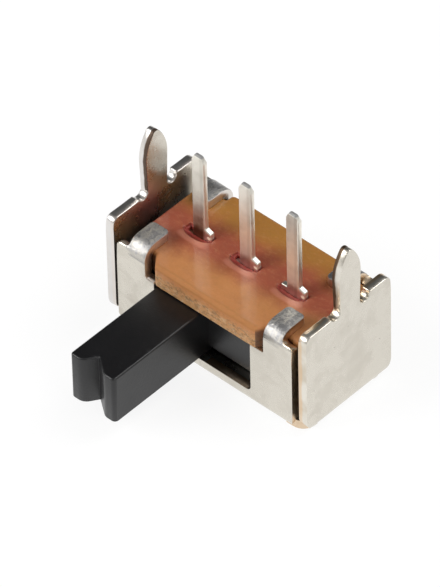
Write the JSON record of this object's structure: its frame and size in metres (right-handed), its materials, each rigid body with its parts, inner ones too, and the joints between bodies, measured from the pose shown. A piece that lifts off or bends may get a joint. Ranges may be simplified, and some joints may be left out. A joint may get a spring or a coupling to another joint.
{
  "type": "slide switch",
  "caption": "Miniature slide switch with a side lever, a folded metal frame with solder prongs and flat pins in a laminate board.",
  "frame": {"origin": "middle of the underside of the frame's base, midway between the end walls and between the front and back walls", "axes": "+Z is the way the pins and prongs point, and the way they go into a circuit board; +X runs along the row of pins, the lever's direction of travel; the lever points to -Y"},
  "size_m": [0.0086, 0.0081, 0.0069],
  "materials": {
    "tin_plate": "satin tin plate on folded steel sheet",
    "laminate": "glossy, slightly translucent phenolic laminate",
    "pin_plating": "bright tin plating",
    "black_plastic": "moulded, semi-matt",
    "clip_bronze": "bare spring bronze"
  },
  "bodies": {
    "housing": {"frame": "tin_plate", "terminal_board": "laminate", "terminal_left": "pin_plating", "terminal_middle": "pin_plating", "terminal_right": "pin_plating"},
    "slider": {"slide_lever": "black_plastic", "contact_clip": "clip_bronze"}
  },
  "joints": [
    {"name": "lever_slide", "type": "slide", "parent": "housing", "child": "slider", "axis": [1, 0, 0], "range_m": [0, 0.002]}
  ]
}
